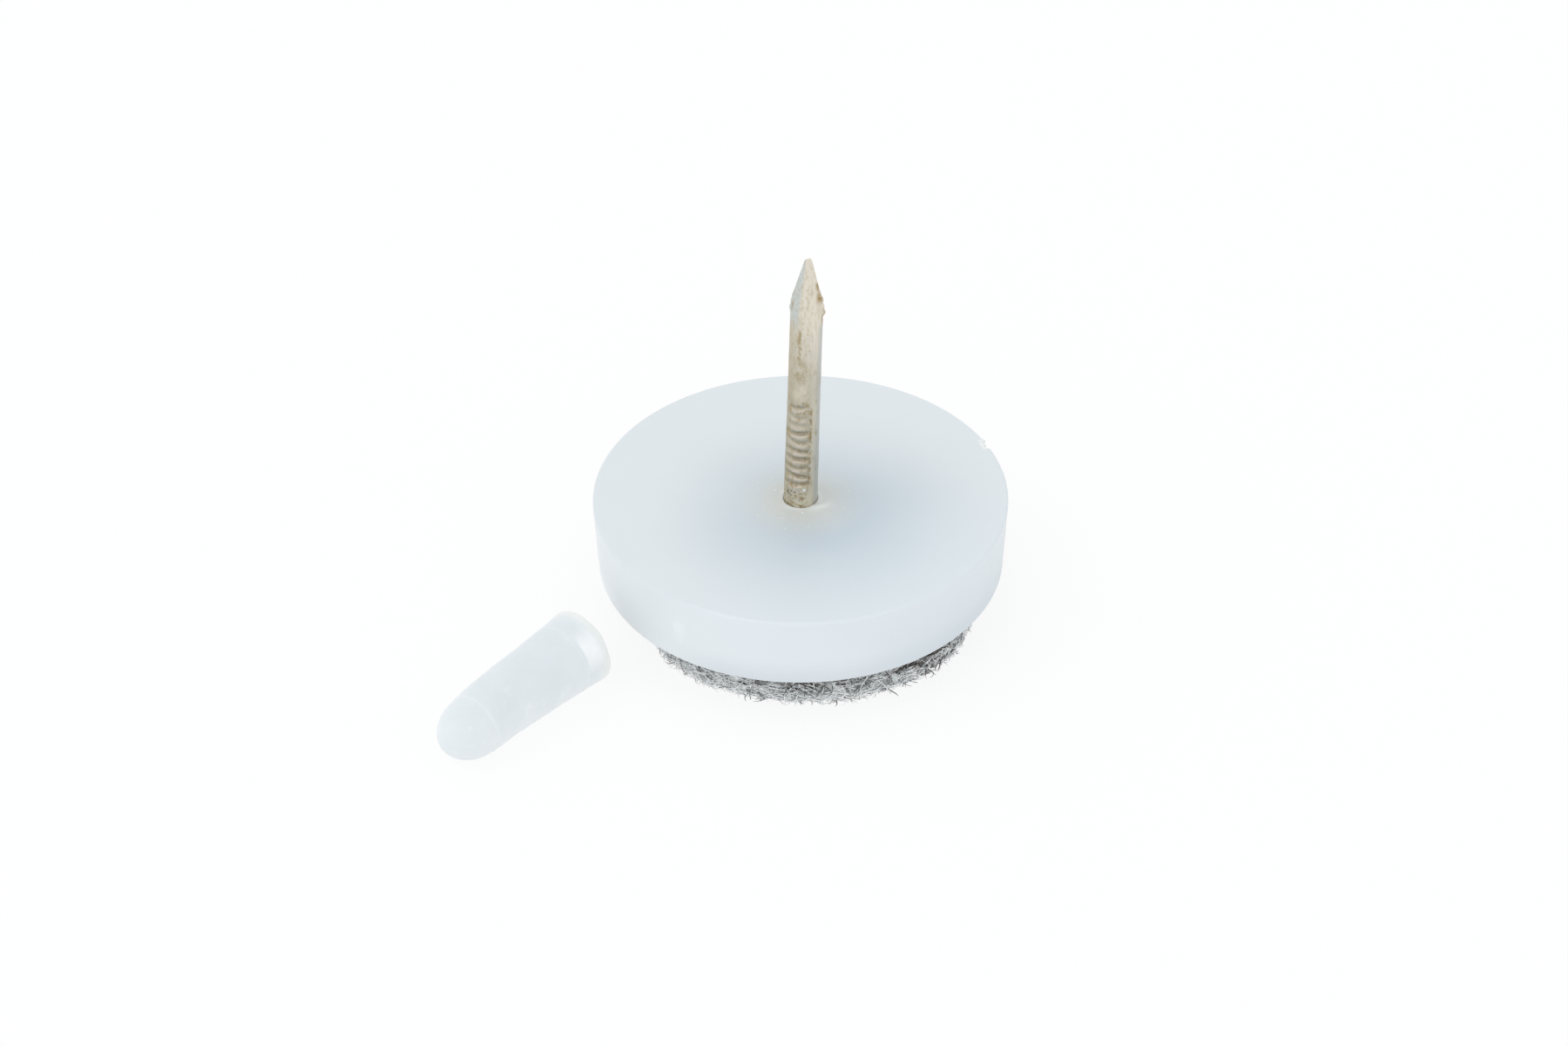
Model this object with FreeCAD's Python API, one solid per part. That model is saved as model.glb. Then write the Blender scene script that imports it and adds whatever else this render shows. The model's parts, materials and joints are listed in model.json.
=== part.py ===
import FreeCAD, Part
import math
import os

# Nail-on furniture glide: a moulded plastic disc, a felt pad let into its underside, a wire nail whose head
# is held between the two, and the blind plastic cap that covers the point until the nail is driven.
# Millimetres. The origin is on the disc's axis, on the surface that the felt stands on, and +Z runs up the nail.

# Felt pad
FELT_DIAMETER = 24.0
FELT_THICKNESS = 3.9
FELT_EDGE_BEVEL = 0.4
FELT_PLAY = 0.6  # room round a centred pad in its recess
FELT_SIDE_GAP = 0.1  # room left on the side that the pad was pressed towards

# Moulded base
RIM_WALL = 1.0  # plastic between the felt recess and the outside, at the foot
RECESS_DEPTH = 1.0
WEB_THICKNESS = 4.5  # plastic between the felt and the top face
WALL_FLARE = 0.4  # how far the wall leans out on its way up
FOOT_BEVEL = 0.55  # breaks the lower edge
TOP_BEVEL = 0.18  # breaks the top edge
HOLE_RELIEF = 0.15  # rounded-off mouth of the nail's hole
GATE_BEARING = -126.5  # oval scar of the moulding gate, degrees round from +X
GATE_WIDTH = 1.3
GATE_HEIGHT = 2.3
GATE_PROUD = 0.08
NICK_BEARING = 25.0  # trimmed flash on the top rim, degrees round from +X
NICK_WIDTH = 1.1
NICK_DEPTH = 0.2
NICK_DROP = 1.2

# Nail
NAIL_DIAMETER = 2.2
NAIL_REACH = 19.8  # above the top face
NAIL_LEAN = 1.8  # degrees towards +X
NAIL_SWELL = 0.04  # extra radius below the die marks, where heading upset the wire
HEAD_DIAMETER = 5.0
HEAD_THICKNESS = 0.9
HEAD_SINK = 0.2  # how far the head stays above the felt
HEAD_PLAY = 0.1  # room round the head in its pocket
BROAD_FACET = 5.3  # length of the two broad facets of the diamond point
NARROW_FACET = 4.55
TIP_WIDTH = 0.42
TIP_THICKNESS = 0.14
TIP_FLAT = 0.2  # blunt end of the point, across
POINT_TURN = 22.0  # degrees that the broad facets are turned from facing -Y towards +X
GRIP_START = 1.5  # from the top face to the die marks
GRIP_COUNT = 10
GRIP_PITCH = 0.7
GRIP_DEPTH = 0.12
GRIP_TOOTH_WIDTH = 0.5  # across a groove at the wire's surface
GRIP_ARC = 102.0  # degrees that each row of die marks reaches round the wire
GRIP_TURN = -25.0  # degrees that the die marks are turned from facing -Y towards +X

# Cap
CAP_MOUTH_DIAMETER = 5.4
CAP_NECK_DIAMETER = 5.05
CAP_END_DIAMETER = 4.25
CAP_COLLAR_LENGTH = 2.0
CAP_TAPER_LENGTH = 8.6
CAP_NOSE_STEP = 0.06  # how far the round nose is set back from the end of the taper
CAP_NOSE_NECK = 0.65  # straight stretch between the step and the dome
CAP_MOUTH_WALL = 0.6
CAP_BORE_DEPTH = 9.8
CAP_NAIL_PLAY = 0.1  # room round the nail at the end of the bore
CAP_STANDOFF = 3.2  # from the disc's edge to the middle of the cap's mouth
CAP_BEARING = -149.3  # where the mouth lies, degrees round from +X
CAP_HEADING = -132.5  # which way the closed end points

# Sizes that follow
FELT_RADIUS = FELT_DIAMETER / 2
RECESS_RADIUS = FELT_RADIUS + FELT_PLAY
FOOT_RADIUS = RECESS_RADIUS + RIM_WALL
TOP_RADIUS = FOOT_RADIUS + WALL_FLARE
FOOT_Z = FELT_THICKNESS - RECESS_DEPTH
RECESS_Z = FELT_THICKNESS
TOP_Z = RECESS_Z + WEB_THICKNESS
NAIL_RADIUS = NAIL_DIAMETER / 2
NAIL_FOOT_RADIUS = NAIL_RADIUS + NAIL_SWELL
HEAD_RADIUS = HEAD_DIAMETER / 2
HEAD_BOTTOM = HEAD_SINK - WEB_THICKNESS  # along the nail, from the top face
HEAD_SEAT = HEAD_BOTTOM + HEAD_THICKNESS
GRIP_END = GRIP_START + GRIP_COUNT * GRIP_PITCH
POINT_START = NAIL_REACH - BROAD_FACET
CAP_MOUTH_RADIUS = CAP_MOUTH_DIAMETER / 2
CAP_END_RADIUS = CAP_END_DIAMETER / 2
CAP_DOME_RADIUS = CAP_END_RADIUS - CAP_NOSE_STEP
CAP_STEP_AT = CAP_COLLAR_LENGTH + CAP_TAPER_LENGTH  # from the mouth
CAP_DOME_AT = CAP_STEP_AT + CAP_NOSE_NECK

ORIGIN = FreeCAD.Vector(0, 0, 0)
ALONG_X = FreeCAD.Vector(1, 0, 0)
ALONG_Y = FreeCAD.Vector(0, 1, 0)
UP = FreeCAD.Vector(0, 0, 1)
FRONT_AND_BACK = (-90, 90)  # bearings of the two dies
NAIL_FOOT = FreeCAD.Vector(0, 0, TOP_Z)


def disc(radius, bottom, top):
    return Part.makeCylinder(radius, top - bottom, UP * bottom)


def ring_edges(shape, radius, height):
    """The full circles of a shape at one radius and height round the Z axis."""
    found = []
    for edge in shape.Edges:
        if not isinstance(edge.Curve, Part.Circle):
            continue
        level = abs(edge.Curve.Center.z - height) < Part.Precision.confusion()
        if level and abs(edge.Curve.Radius - radius) < Part.Precision.confusion():
            found.append(edge)
    return found


def turned_to(shape, bearing):
    return shape.rotated(ORIGIN, UP, bearing)


def along_nail(shape):
    """Carry a shape from the nail's own axis, with the top face at zero, to where the nail stands."""
    return shape.translated(NAIL_FOOT).rotated(NAIL_FOOT, ALONG_Y, NAIL_LEAN)


# Moulded base
def moulded_disc():
    wall = Part.makeCone(FOOT_RADIUS, TOP_RADIUS, TOP_Z - FOOT_Z, UP * FOOT_Z)
    wall = wall.makeChamfer(FOOT_BEVEL, ring_edges(wall, FOOT_RADIUS, FOOT_Z))
    wall = wall.makeChamfer(TOP_BEVEL, ring_edges(wall, TOP_RADIUS, TOP_Z))
    return wall.cut(disc(RECESS_RADIUS, FOOT_Z, RECESS_Z))


def gate_scar():
    """The oval, slightly proud scar halfway up the wall where the moulding was filled."""
    oval = Part.Ellipse(ORIGIN, GATE_HEIGHT / 2, GATE_WIDTH / 2).toShape()
    stub = Part.Face(Part.Wire(oval)).extrude(UP * TOP_RADIUS)
    stub = stub.rotated(ORIGIN, ALONG_Y, 90).translated(
        FreeCAD.Vector(FOOT_RADIUS - GATE_WIDTH, 0, (FOOT_Z + TOP_Z) / 2)
    )
    skin = Part.makeCone(FOOT_RADIUS + GATE_PROUD, TOP_RADIUS + GATE_PROUD, TOP_Z - FOOT_Z, UP * FOOT_Z)
    return turned_to(stub.common(skin), GATE_BEARING)


def rim_nick():
    """The flat left on the top rim where flash was trimmed off."""
    corner = FreeCAD.Vector(TOP_RADIUS - NICK_DEPTH, -NICK_WIDTH / 2, TOP_Z - NICK_DROP)
    return turned_to(Part.makeBox(WALL_FLARE + NICK_DEPTH, NICK_WIDTH, NICK_DROP, corner), NICK_BEARING)


def nail_hole():
    shaft = disc(NAIL_FOOT_RADIUS, -WEB_THICKNESS, WEB_THICKNESS)
    pocket = disc(HEAD_RADIUS + HEAD_PLAY, HEAD_BOTTOM - HEAD_THICKNESS, HEAD_SEAT)
    mouth_radius = NAIL_FOOT_RADIUS + 2 * HOLE_RELIEF
    mouth = Part.makeCone(NAIL_FOOT_RADIUS, mouth_radius, 2 * HOLE_RELIEF, UP * -HOLE_RELIEF)
    return along_nail(shaft.fuse([pocket, mouth]))


def glide_base():
    return moulded_disc().fuse(gate_scar()).cut([rim_nick(), nail_hole()]).removeSplitter()


# Felt pad
def felt_pad():
    pad = disc(FELT_RADIUS, 0, FELT_THICKNESS)
    pad = pad.makeChamfer(FELT_EDGE_BEVEL, ring_edges(pad, FELT_RADIUS, 0))
    return pad.translated(ALONG_X * (FELT_PLAY - FELT_SIDE_GAP))


# Nail
def diamond_point():
    """Two broad and two narrow facets cut on the wire, which meet in a blunt chisel edge."""
    wire = disc(NAIL_RADIUS, POINT_START, NAIL_REACH)
    half_width = TIP_WIDTH / 2 + BROAD_FACET * (NAIL_RADIUS - TIP_WIDTH / 2) / NARROW_FACET
    wedge = Part.makeWedge(
        -half_width, 0, -NAIL_RADIUS, -TIP_THICKNESS / 2, -TIP_WIDTH / 2,
        half_width, BROAD_FACET, NAIL_RADIUS, TIP_THICKNESS / 2, TIP_WIDTH / 2,
    )
    wedge = wedge.rotated(ORIGIN, ALONG_X, 90).translated(UP * POINT_START)
    blunting = Part.makeCone(TIP_FLAT / 2 + BROAD_FACET, TIP_FLAT / 2, BROAD_FACET, UP * POINT_START)
    return wire.common(turned_to(wedge, POINT_TURN)).common(blunting)


def grip_tooth(level, side):
    """One groove pressed part of the way round the wire by a tooth of the heading dies."""
    root = FreeCAD.Vector(NAIL_RADIUS - GRIP_DEPTH, 0, level)
    out = FreeCAD.Vector(NAIL_RADIUS + GRIP_DEPTH, 0, level)
    corners = [root, out - UP * GRIP_TOOTH_WIDTH, out + UP * GRIP_TOOTH_WIDTH, root]
    tooth = Part.Face(Part.makePolygon(corners)).revolve(ORIGIN, UP, GRIP_ARC)
    return turned_to(tooth, side + GRIP_TURN - GRIP_ARC / 2)


def gripped_wire():
    """The slightly swollen stretch that the dies held, with a row of grooves on two opposite sides."""
    wire = Part.makeCone(NAIL_FOOT_RADIUS, NAIL_RADIUS, GRIP_END - GRIP_START, UP * GRIP_START)
    levels = [GRIP_START + (step + 0.5) * GRIP_PITCH for step in range(GRIP_COUNT)]
    return wire.cut([grip_tooth(level, side) for level in levels for side in FRONT_AND_BACK])


def nail():
    head = disc(HEAD_RADIUS, HEAD_BOTTOM, HEAD_SEAT)
    foot = disc(NAIL_FOOT_RADIUS, HEAD_SEAT, GRIP_START)
    shank = disc(NAIL_RADIUS, GRIP_END, POINT_START)
    return along_nail(head.fuse([foot, gripped_wire(), shank, diamond_point()]).removeSplitter())


# Cap
def line(start, end):
    return Part.LineSegment(FreeCAD.Vector(start[0], 0, start[1]), FreeCAD.Vector(end[0], 0, end[1])).toShape()


def arc(start, middle, end):
    return Part.Arc(*[FreeCAD.Vector(along, 0, out) for along, out in (start, middle, end)]).toShape()


def cap_outline():
    """Half section of the cap along X, mouth at zero: flared collar, long taper, stepped round nose, blind bore."""
    neck = CAP_NECK_DIAMETER / 2
    bore_mouth = CAP_MOUTH_RADIUS - CAP_MOUTH_WALL
    bore_end = NAIL_RADIUS + CAP_NAIL_PLAY
    bore_tip = CAP_BORE_DEPTH + bore_end
    dome_tip = CAP_DOME_AT + CAP_DOME_RADIUS
    dome_side = CAP_DOME_RADIUS * math.sqrt(0.5)
    return [
        line((0, bore_mouth), (0, CAP_MOUTH_RADIUS)),
        line((0, CAP_MOUTH_RADIUS), (CAP_COLLAR_LENGTH, neck)),
        line((CAP_COLLAR_LENGTH, neck), (CAP_STEP_AT, CAP_END_RADIUS)),
        line((CAP_STEP_AT, CAP_END_RADIUS), (CAP_STEP_AT, CAP_DOME_RADIUS)),
        line((CAP_STEP_AT, CAP_DOME_RADIUS), (CAP_DOME_AT, CAP_DOME_RADIUS)),
        arc((CAP_DOME_AT, CAP_DOME_RADIUS), (CAP_DOME_AT + dome_side, dome_side), (dome_tip, 0)),
        line((dome_tip, 0), (bore_tip, 0)),
        line((bore_tip, 0), (CAP_BORE_DEPTH, bore_end)),
        line((CAP_BORE_DEPTH, bore_end), (0, bore_mouth)),
    ]


def nail_cap():
    """The cap on its side: it rests on the rim of its mouth and on the end of its taper or its dome."""
    onto_taper = math.atan2(CAP_MOUTH_RADIUS - CAP_END_RADIUS, CAP_STEP_AT)
    dome_reach = math.hypot(CAP_MOUTH_RADIUS, CAP_DOME_AT)
    onto_dome = math.acos(CAP_DOME_RADIUS / dome_reach) - math.atan2(CAP_DOME_AT, CAP_MOUTH_RADIUS)
    droop = min(onto_taper, onto_dome)
    cap = Part.Face(Part.Wire(cap_outline())).revolve(ORIGIN, ALONG_X, 360)
    cap = turned_to(cap.rotated(ORIGIN, ALONG_Y, math.degrees(droop)), CAP_HEADING)
    away = TOP_RADIUS + CAP_STANDOFF
    bearing = math.radians(CAP_BEARING)
    lift = CAP_MOUTH_RADIUS * math.cos(droop)
    return cap.translated(FreeCAD.Vector(away * math.cos(bearing), away * math.sin(bearing), lift))


os.makedirs("parts", exist_ok=True)
for make_piece in (glide_base, felt_pad, nail, nail_cap):
    piece = make_piece()
    piece.exportStep(f"parts/{make_piece.__name__}.step")
    print(make_piece.__name__, piece.isValid(), len(piece.Solids), round(piece.Volume, 3))
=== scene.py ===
import json
import math

import bmesh
import bpy
import numpy as np
from mathutils import Matrix, Vector, noise


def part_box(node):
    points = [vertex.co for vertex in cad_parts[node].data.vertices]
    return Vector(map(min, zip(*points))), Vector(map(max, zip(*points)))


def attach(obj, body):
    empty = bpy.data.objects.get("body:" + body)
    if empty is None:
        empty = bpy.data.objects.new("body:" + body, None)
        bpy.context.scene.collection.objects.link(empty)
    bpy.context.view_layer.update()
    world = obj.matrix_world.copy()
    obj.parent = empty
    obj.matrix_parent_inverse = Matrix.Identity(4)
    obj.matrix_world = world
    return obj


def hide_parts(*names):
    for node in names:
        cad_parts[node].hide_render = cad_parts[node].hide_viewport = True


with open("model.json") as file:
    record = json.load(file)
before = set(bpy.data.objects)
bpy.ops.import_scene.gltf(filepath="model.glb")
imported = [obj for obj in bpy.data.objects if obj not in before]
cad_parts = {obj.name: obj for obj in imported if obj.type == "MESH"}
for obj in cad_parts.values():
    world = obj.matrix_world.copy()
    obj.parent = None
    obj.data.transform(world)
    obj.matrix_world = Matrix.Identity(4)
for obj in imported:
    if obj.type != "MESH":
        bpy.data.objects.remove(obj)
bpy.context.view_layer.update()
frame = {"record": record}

# Nail-on furniture glide: a milky plastic disc on a wool felt pad, a plated nail standing in the disc,
# and the nail's blind cap lying beside it. Metres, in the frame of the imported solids.
MM = 0.001
TURN = 2 * math.pi
MOUNTS = {mount["name"]: mount for mount in frame["record"]["mounts"]}

# Felt pad
FELT_LOW, FELT_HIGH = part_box("felt_pad")
FELT_RADIUS = (FELT_HIGH.x - FELT_LOW.x) / 2
FELT_CENTRE_X = (FELT_HIGH.x + FELT_LOW.x) / 2
FELT_EDGE = FELT_RADIUS - 0.1 * MM  # the matted body inside its fringe
FELT_PRESS = 0.5 * MM  # how far the edge is pressed in at the left and right, where the fringe lies flat
FELT_TOP = FELT_HIGH.z
FELT_UNDERSIDE = 0.06 * MM  # of the matted body, with room for the fibres below it
FELT_ROUND = 0.7 * MM
FELT_TOP_ROUND = 0.25 * MM
FELT_LUMP = 0.16 * MM  # how far the matted surface rises and falls
FIBRE_LENGTH = 1.7 * MM
FIBRE_RADIUS = 0.05 * MM
FIBRE_CRIMP = 0.07 * MM
FIBRE_STEPS = 8  # points along each fibre
FIBRE_LOWEST = 0.025 * MM
FIBRE_HEADROOM = 0.03 * MM  # below the base
# Where more dark wool shows, or less: the bearing, the width and the amount
DARK_SIDES = (
    (math.radians(-79.0), 0.15, 0.2),
    (math.radians(-43.0), 0.3, 0.5),
    (math.radians(-103.0), 0.12, 0.15),
    (math.radians(-122.0), 0.2, -0.3),
    (math.radians(-147.0), 0.1, 0.12),
)

# Moulded base
BASE_LOW, BASE_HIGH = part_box("glide_base")
FOOT_Z = BASE_LOW.z
TOP_Z = BASE_HIGH.z
RIM_MIDDLE = (FOOT_Z + TOP_Z) / 2
TOP_RADIUS = 14.0 * MM
FOOT_RADIUS = 13.6 * MM
RECESS_RADIUS = 12.6 * MM
TOP_ROUND = 0.15 * MM
FOOT_ROUND = 0.55 * MM
HOLE_ROUND = 0.06 * MM
HOLE_POCKET_ROUND = 0.02 * MM
RECESS_ROUND = 0.2 * MM
RECESS_EDGE_ROUND = 0.08 * MM
POCKET_RADIUS = 2.6 * MM
POCKET_TOP = 5.0 * MM
POCKET_ROUND = 0.05 * MM
LIP_REACH = 4.0 * MM  # the part of the top face, round the nail, that holds the lip
LIP_HEIGHT = 0.07 * MM
GATE_BEARING = math.radians(-126.5)
GATE_WIDTH = 1.3 * MM
GATE_HEIGHT = 2.3 * MM
GATE_PROUD = 0.05 * MM
# The gate's oval and its smear: the height of each, its reach, how full it is and how strong its lip
GATE_MARKS = ((0.16, 0.27, 0.75, 0.3), (-0.12, 0.42, 0.4, 0.0))
NICK_BEARING = math.radians(25.0)
NICK_WIDTH = 1.1 * MM
NICK_DEPTH = 0.2 * MM
NICK_DROP = 1.2 * MM
NICK_TAB = 0.12 * MM  # how far the torn tab beside the nick sticks out

# Nail, measured along its own axis from the top face
NAIL_AXIS = Vector(MOUNTS["nail_shank"]["axis"])
NAIL_RADIUS = MOUNTS["nail_shank"]["dims"]["r_mm"] * MM
NAIL_SWELL = 0.04 * MM
NAIL_FOOT = Vector((0, 0, TOP_Z))
NAIL_BACK = Vector((0, 1, 0))
NAIL_RIGHT = NAIL_BACK.cross(NAIL_AXIS)
NAIL_REACH = 19.8 * MM
HEAD_RADIUS = 2.5 * MM
HEAD_BOTTOM = -4.3 * MM
HEAD_SEAT = -3.4 * MM
BROAD_FACET = 5.3 * MM
NARROW_FACET = 4.55 * MM
TIP_WIDTH = 0.42 * MM
TIP_THICKNESS = 0.14 * MM
TIP_ROUND = 0.2 * MM
POINT_TURN = math.radians(22.0)
GRIP_START = 1.5 * MM
GRIP_COUNT = 10
GRIP_PITCH = 0.7 * MM
GRIP_END = GRIP_START + GRIP_COUNT * GRIP_PITCH
GRIP_DEPTH = 0.12 * MM
GRIP_WIDTH = 0.62 * MM
GRIP_ARC = math.radians(102.0)
GRIP_BEARINGS = (math.radians(-115.0), math.radians(65.0))
BURR_BEARINGS = (math.radians(-14.0), math.radians(166.0))
BURR_HEIGHTS = (0.13 * MM, 0.05 * MM)
BURR_START = NAIL_REACH - 4.7 * MM
BURR_END = NAIL_REACH - 2.1 * MM
# Brown stains: how far below the tip, the bearing, and the reach of each
STAINS = (
    (2.1 * MM, math.radians(-20.0), 0.22 * MM),
    (2.9 * MM, math.radians(-24.0), 0.34 * MM),
    (4.5 * MM, math.radians(-14.0), 0.42 * MM),
    (3.6 * MM, math.radians(-172.0), 0.28 * MM),
)
PITS_BELOW = NAIL_REACH - 1.0 * MM
PITS_BEARING = math.radians(-118.0)
GLINT_BELOW = NAIL_REACH - 1.45 * MM
GLINT_BEARING = math.radians(-80.0)
CLEAN_BELOW = NAIL_REACH - 9.4 * MM
CLEAN_BEARING = math.radians(-100.0)

# Cap, measured along its own axis from the mouth
CAP_LOW, CAP_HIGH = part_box("nail_cap")
CAP_MOUTH_RADIUS = 2.7 * MM
CAP_NECK_RADIUS = 2.525 * MM
CAP_END_RADIUS = 2.18 * MM
CAP_DOME_RADIUS = 2.14 * MM
CAP_COLLAR = 2.0 * MM
CAP_STEP_AT = 10.6 * MM
CAP_DOME_LENGTH = 2.95 * MM
CAP_RIM_ROUND = 0.14 * MM
CAP_WALL = 0.6 * MM
CAP_BORE_DEPTH = 9.8 * MM
CAP_BORE_END = 1.2 * MM
CAP_BEAD = 0.02 * MM  # raised ring where the collar meets the taper
COLLAR_HIGHLIGHT_BEARING = math.radians(36.0)  # where the painted highlight on the collar lies, a patch of painted reflection
CAP_HEADING = math.radians(-132.5)
CAP_NOSE_SHIFT = 0.17 * MM  # how far the nose was moulded to one side
CAP_DROOP = math.atan2(CAP_MOUTH_RADIUS - CAP_END_RADIUS, CAP_STEP_AT)

# Camera
VIEW_ELEVATION = math.radians(36.92)
VIEW_DISTANCE = 0.8
VIEW_LENS = 272.8
VIEW_ROLL = math.radians(-0.41)
VIEW_RIGHT = -1.126 * MM  # where the optical axis passes the middle of the top face
VIEW_UP = -1.671 * MM

FLOOR_HALF = 1.5  # half the width of the floor

rng = np.random.default_rng(5539)


# Shader maths
class Value:
    """A node's output socket that takes part in Python arithmetic."""

    def __init__(self, finish, socket):
        self.finish = finish
        self.socket = socket

    def maths(self, operation, *terms):
        return self.finish.node("ShaderNodeMath", {"operation": operation}, dict(enumerate(terms)))

    def __add__(self, other):
        return self.maths("ADD", self, other)

    def __sub__(self, other):
        return self.maths("SUBTRACT", self, other)

    def __rsub__(self, other):
        return self.maths("SUBTRACT", other, self)

    def __mul__(self, other):
        return self.maths("MULTIPLY", self, other)

    def __truediv__(self, other):
        return self.maths("DIVIDE", self, other)

    def __pow__(self, other):
        return self.maths("POWER", self, other)

    __radd__ = __add__
    __rmul__ = __mul__

    def least(self, other):
        return self.maths("MINIMUM", self, other)

    def most(self, other):
        return self.maths("MAXIMUM", self, other)

    def ramp(self, low, high):
        """0 below low, 1 above high, and smooth between them."""
        settings = {"interpolation_type": "SMOOTHSTEP"}
        return self.finish.node("ShaderNodeMapRange", settings, {"Value": self, 1: low, 2: high})

    def band(self, rise, fall):
        """0 outside and 1 inside, with a smooth rise and a smooth fall, each from its start to its end."""
        return self.ramp(*rise) * (1 - self.ramp(*fall))

    def near(self, centre, reach):
        """1 at the centre, and 0 from reach on at either side of it."""
        return (1 - ((self - centre) / reach) ** 2).ramp(0, 1)


class Finish:
    """The node tree of a material or of the world."""

    def __init__(self, holder):
        holder.use_nodes = True
        self.tree = holder.node_tree
        self.tree.nodes.clear()

    def node(self, kind, settings=None, sockets=None, output=0):
        made = self.tree.nodes.new(kind)
        for name, setting in (settings or {}).items():
            setattr(made, name, setting)
        for key, value in (sockets or {}).items():
            if isinstance(value, Value):
                self.tree.links.new(value.socket, made.inputs[key])
            else:
                made.inputs[key].default_value = value
        return Value(self, made.outputs[output]) if made.outputs else None

    def place(self):
        return self.node("ShaderNodeTexCoord", output="Object")

    def vector(self, operation, *terms, output="Vector"):
        return self.node("ShaderNodeVectorMath", {"operation": operation}, dict(enumerate(terms)), output)

    def along(self, direction, origin=(0, 0, 0)):
        """Distance of the shaded point from origin along a direction."""
        moved = self.vector("SUBTRACT", self.place(), origin)
        return self.vector("DOT_PRODUCT", moved, direction, output="Value")

    def away(self, point, stretch=(1, 1, 1)):
        """Distance of the shaded point from another, with each axis weighed by stretch."""
        moved = self.vector("SUBTRACT", self.place(), point)
        return self.vector("LENGTH", self.vector("MULTIPLY", moved, stretch), output="Value")

    def grain(self, size, detail=3.0, rough=0.55, stretch=(1, 1, 1)):
        """Noise whose lumps are about size across."""
        scaled = self.vector("MULTIPLY", self.place(), stretch)
        sockets = {"Vector": scaled, "Scale": 1 / size, "Detail": detail, "Roughness": rough}
        return self.node("ShaderNodeTexNoise", None, sockets, "Fac")

    def mark(self, name):
        """A number that the mesh carries at each of its points."""
        return self.node("ShaderNodeAttribute", {"attribute_name": name}, None, "Fac")

    def mix(self, share, first, second):
        return self.node("ShaderNodeMix", {"data_type": "RGBA"}, {0: share, 6: first, 7: second}, 2)

    def bump(self, height, depth, strength=1.0):
        sockets = {"Height": height, "Distance": depth, "Strength": strength}
        return self.node("ShaderNodeBump", None, sockets)

    def surface(self, **sockets):
        """The material's one shader, with its sockets named in small letters."""
        named = {}
        for name, value in sockets.items():
            named[name.replace("_", " ").title().replace("Ior", "IOR")] = value
        shader = self.node("ShaderNodeBsdfPrincipled", None, named)
        self.node("ShaderNodeOutputMaterial", None, {"Surface": shader})


def shade(red, green, blue):
    """A colour given in 8-bit display values, as linear light."""
    parts = [channel / 255 for channel in (red, green, blue)]
    linear = [part / 12.92 if part <= 0.04045 else ((part + 0.055) / 1.055) ** 2.4 for part in parts]
    return (*linear, 1.0)


def new_finish(name):
    material = bpy.data.materials.new(name)
    return material, Finish(material)


# Mesh helpers
def smooth(low, high, value):
    share = np.clip((value - low) / (high - low), 0, 1)
    return share * share * (3 - 2 * share)


def band(rise, fall, value):
    """0 outside and 1 inside, with a smooth rise and a smooth fall, each from its start to its end."""
    return smooth(*rise, value) * (1 - smooth(*fall, value))


def bell(value, width):
    return np.exp(-((value / width) ** 2))


def wrapped(angle):
    return (angle + math.pi) % TURN - math.pi


def unit(vectors):
    return vectors / (np.linalg.norm(vectors, axis=-1, keepdims=True) + 1e-12)


def bearings(count):
    return np.linspace(-math.pi, math.pi, count, endpoint=False)


def turned(out, bearing, height):
    """Points at a distance out from the upright axis."""
    return np.stack([out * np.cos(bearing), out * np.sin(bearing), height], -1)


def lathe(section, around):
    """The bearing, the distance out and the height of each point of a section turned about an axis."""
    bearing, out = np.meshgrid(around, section[:, 0])
    return bearing, out, np.repeat(section[:, 1:], len(around), 1)


def lumps(points, size, octaves=3):
    """Noise from about -1 to 1 at each point, with lumps about size across."""
    flat = points.reshape(-1, 3) / size
    values = [noise.fractal(Vector(point), 1.0, 2.0, octaves) for point in flat]
    return np.array(values).reshape(points.shape[:-1])


def run(start, end, step):
    """Points from start to end, the end left out, about step apart."""
    count = max(1, math.ceil(math.dist(start, end) / step))
    share = np.arange(count)[:, None] / count
    return np.array(start) * (1 - share) + np.array(end) * share


def rounded(corners, turns=8):
    """A closed section through corners of (out, up, round, step). The step is for the run that follows."""
    section = []
    count = len(corners)
    for index in range(count):
        before, here, after = (np.array(corners[(index + move) % count][:2]) for move in (-1, 0, 1))
        onward = np.array(corners[(index + 2) % count][:2])
        start, end = fillet(before, here, after, corners[index][2])
        section.extend(curve(start, here, end, turns))
        next_start = fillet(here, after, onward, corners[(index + 1) % count][2])[0]
        section.extend(run(end, next_start, corners[index][3])[1:])
    return np.array(section)


def fillet(before, corner, after, radius):
    """Where the round of a corner starts and ends."""
    into = (before - corner) / np.linalg.norm(before - corner)
    out = (after - corner) / np.linalg.norm(after - corner)
    half = math.acos(np.clip(into @ out, -1, 1)) / 2
    return corner + into * radius / math.tan(half), corner + out * radius / math.tan(half)


def curve(start, corner, end, turns):
    """A smooth turn from start to end that leans on the corner."""
    start, corner, end = (np.array(point) for point in (start, corner, end))
    share = np.linspace(0, 1, turns + 1)[:, None]
    weight = math.sqrt(0.5)
    top = start * (1 - share) ** 2 + corner * 2 * weight * share * (1 - share) + end * share**2
    return top / ((1 - share) ** 2 + 2 * weight * share * (1 - share) + share**2)


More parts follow.
